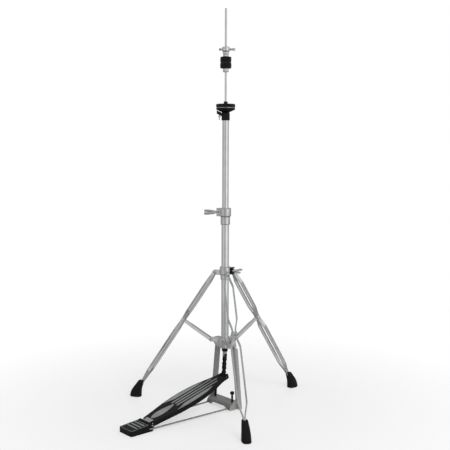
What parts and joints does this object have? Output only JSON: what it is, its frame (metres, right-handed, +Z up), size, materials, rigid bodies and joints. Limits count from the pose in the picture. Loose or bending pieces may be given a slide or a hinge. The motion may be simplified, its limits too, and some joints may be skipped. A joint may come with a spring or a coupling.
{
  "type": "hi-hat stand",
  "caption": "Hi-hat cymbal stand on a folding double-braced tripod, with a telescoping tube, pull rod, clutch, tilting felt seat and chain-driven foot pedal.",
  "frame": {"origin": "floor level, midway between the outermost feet in X and between the heel plate's back edge and the rear foot in Y", "axes": "+Z up along the tube; the pedal's heel points to -Y, the rear leg to +Y; +X is the player's right"},
  "size_m": [0.5418, 0.667, 1.167],
  "materials": {
    "chrome_tube": "bright chrome plate on drawn steel tube",
    "chrome_leg": "chrome plate on pressed steel strip",
    "chrome_fitting": "chrome plate on die-cast and turned fittings",
    "bright_casting": "chrome plate on rougher castings",
    "steel": "zinc plated steel",
    "grey_paint": "light silver-grey enamel",
    "dark_paint": "dark grey enamel",
    "black_metal": "satin black powder coat",
    "black_plastic": "black moulded nylon",
    "black_felt": "dense pressed black wool felt",
    "black_rubber": "moulded black rubber"
  },
  "bodies": {
    "root": {"base_tube": "chrome_tube", "tube_bush": "black_plastic", "height_clamp": "chrome_fitting", "hub_casting": "bright_casting", "rod_guide_bush": "black_plastic", "upright_right": "grey_paint", "upright_left": "grey_paint", "base_plate": "dark_paint", "radius_rod": "steel", "heel_plate": "black_metal", "heel_hinge_pin": "steel", "brace_pin_right": "steel", "brace_pin_rear": "steel", "brace_pin_left": "steel"},
    "upper_tube": {"upper_tube": "chrome_tube", "seat_base": "black_plastic"},
    "height_wing": {"height_wing_screw": "chrome_fitting"},
    "seat": {"seat_cup": "black_plastic", "seat_washer": "chrome_fitting", "seat_felt": "black_felt"},
    "tilter": {"tilter_screw": "chrome_fitting"},
    "collar": {"leg_collar": "bright_casting", "collar_clamp_block": "black_plastic", "leg_pin_right": "steel", "leg_pin_rear": "steel", "leg_pin_left": "steel"},
    "collar_wing": {"collar_wing_screw": "chrome_fitting"},
    "pull_rod": {"lower_rod": "steel", "upper_rod": "chrome_tube", "rod_coupling": "steel", "chain_coupler": "steel", "return_spring": "steel"},
    "clutch": {"clutch_body": "chrome_fitting", "clutch_lock_nut": "chrome_fitting", "clutch_felt_upper": "black_felt", "clutch_felt_lower": "black_felt"},
    "clutch_wing": {"clutch_wing_screw": "chrome_fitting"},
    "clutch_nut": {"clutch_bottom_nut": "chrome_fitting"},
    "footboard": {"footboard": "black_metal", "toe_pin": "chrome_fitting"},
    "chain": {"drive_chain": "black_metal"},
    "spur_right": {"floor_spur_right": "black_metal"},
    "spur_left": {"floor_spur_left": "black_metal"},
    "leg_right": {"leg_strip_right_a": "chrome_leg", "leg_strip_right_b": "chrome_leg", "rubber_foot_right": "black_rubber"},
    "brace_right": {"brace_right": "chrome_leg"},
    "leg_rear": {"leg_strip_rear_a": "chrome_leg", "leg_strip_rear_b": "chrome_leg", "rubber_foot_rear": "black_rubber"},
    "brace_rear": {"brace_rear": "chrome_leg"},
    "leg_left": {"leg_strip_left_a": "chrome_leg", "leg_strip_left_b": "chrome_leg", "rubber_foot_left": "black_rubber"},
    "brace_left": {"brace_left": "chrome_leg"}
  },
  "joints": [
    {"name": "height_adjust", "type": "slide", "parent": "root", "child": "upper_tube", "axis": [0, 0, 1], "range_m": [-0.17, 0.02]},
    {"name": "height_wing_turn", "type": "hinge", "parent": "root", "child": "height_wing", "pos_m": [-0.01312, 0.00841, 0.583], "axis": [-0.6561, -0.7547, 0], "continuous": true},
    {"name": "seat_tilt", "type": "hinge", "parent": "upper_tube", "child": "seat", "pos_m": [0, 0.0235, 0.893], "axis": [-0.7547, 0.6561, 0], "range_deg": [0, 8]},
    {"name": "tilter_turn", "type": "hinge", "parent": "upper_tube", "child": "tilter", "pos_m": [-0.01181, 0.00992, 0.87], "axis": [0, 0, 1], "range_deg": [0, 720]},
    {"name": "collar_slide", "type": "slide", "parent": "root", "child": "collar", "axis": [0, 0, 1], "range_m": [0, 0.07571]},
    {"name": "collar_wing_turn", "type": "hinge", "parent": "collar", "child": "collar_wing", "pos_m": [0.02382, 0.03725, 0.411], "axis": [0.866, 0.5, 0], "continuous": true},
    {"name": "leg_right_fold", "type": "hinge", "parent": "collar", "child": "leg_right", "pos_m": [0.02771, 0.0075, 0.404], "axis": [0.5, 0.866, 0], "range_deg": [0, 23.52]},
    {"name": "leg_rear_fold", "type": "hinge", "parent": "collar", "child": "leg_rear", "pos_m": [0, 0.0555, 0.404], "axis": [-1, 0, 0], "range_deg": [0, 23.52]},
    {"name": "leg_left_fold", "type": "hinge", "parent": "collar", "child": "leg_left", "pos_m": [-0.02771, 0.0075, 0.404], "axis": [0.5, -0.866, 0], "range_deg": [0, 23.52]},
    {"name": "brace_right_fold", "type": "hinge", "parent": "root", "child": "brace_right", "pos_m": [0.0381, 0.0015, 0.201], "axis": [-0.5, -0.866, 0], "range_deg": [0, 48.45]},
    {"name": "brace_rear_fold", "type": "hinge", "parent": "root", "child": "brace_rear", "pos_m": [0, 0.0675, 0.201], "axis": [1, 0, 0], "range_deg": [0, 48.45]},
    {"name": "brace_left_fold", "type": "hinge", "parent": "root", "child": "brace_left", "pos_m": [-0.0381, 0.0015, 0.201], "axis": [-0.5, 0.866, 0], "range_deg": [0, 48.45]},
    {"name": "footboard_press", "type": "hinge", "parent": "root", "child": "footboard", "pos_m": [0, -0.2635, 0.016], "axis": [-1, 0, 0], "range_deg": [0, 9]},
    {"name": "pull_rod_slide", "type": "slide", "parent": "root", "child": "pull_rod", "axis": [0, 0, 1], "range_m": [-0.0452, 0], "stiffness_N_per_m": 600, "springref_m": 0.03, "deforming": ["return_spring"]},
    {"name": "chain_swing", "type": "hinge", "parent": "pull_rod", "child": "chain", "pos_m": [0, 0.0235, 0.156], "axis": [1, 0, 0], "range_deg": [0, 7.75]},
    {"name": "clutch_slide", "type": "slide", "parent": "pull_rod", "child": "clutch", "axis": [0, 0, 1], "range_m": [-0.015, 0.09]},
    {"name": "clutch_wing_turn", "type": "hinge", "parent": "clutch", "child": "clutch_wing", "pos_m": [0.00774, 0.03241, 1.051], "axis": [0.6561, 0.7547, 0], "continuous": true},
    {"name": "clutch_nut_turn", "type": "hinge", "parent": "clutch", "child": "clutch_nut", "pos_m": [0, 0.0235, 0.992], "axis": [0, 0, 1], "continuous": true},
    {"name": "spur_right_slide", "type": "slide", "parent": "root", "child": "spur_right", "axis": [0, 0, 1], "range_m": [-0.013, 0.006]},
    {"name": "spur_left_slide", "type": "slide", "parent": "root", "child": "spur_left", "axis": [0, 0, 1], "range_m": [-0.013, 0.006]}
  ],
  "couplings": [
    {"joint": "tilter_turn", "follows": "seat_tilt", "ratio": 90},
    {"joint": "leg_right_fold", "follows": "collar_slide", "rad_per_m": 5.4207},
    {"joint": "leg_rear_fold", "follows": "collar_slide", "rad_per_m": 5.4207},
    {"joint": "leg_left_fold", "follows": "collar_slide", "rad_per_m": 5.4207},
    {"joint": "brace_right_fold", "follows": "collar_slide", "rad_per_m": 11.169},
    {"joint": "brace_rear_fold", "follows": "collar_slide", "rad_per_m": 11.169},
    {"joint": "brace_left_fold", "follows": "collar_slide", "rad_per_m": 11.169},
    {"joint": "pull_rod_slide", "follows": "footboard_press", "m_per_rad": -0.28726},
    {"joint": "chain_swing", "follows": "footboard_press", "ratio": 0.8564}
  ]
}
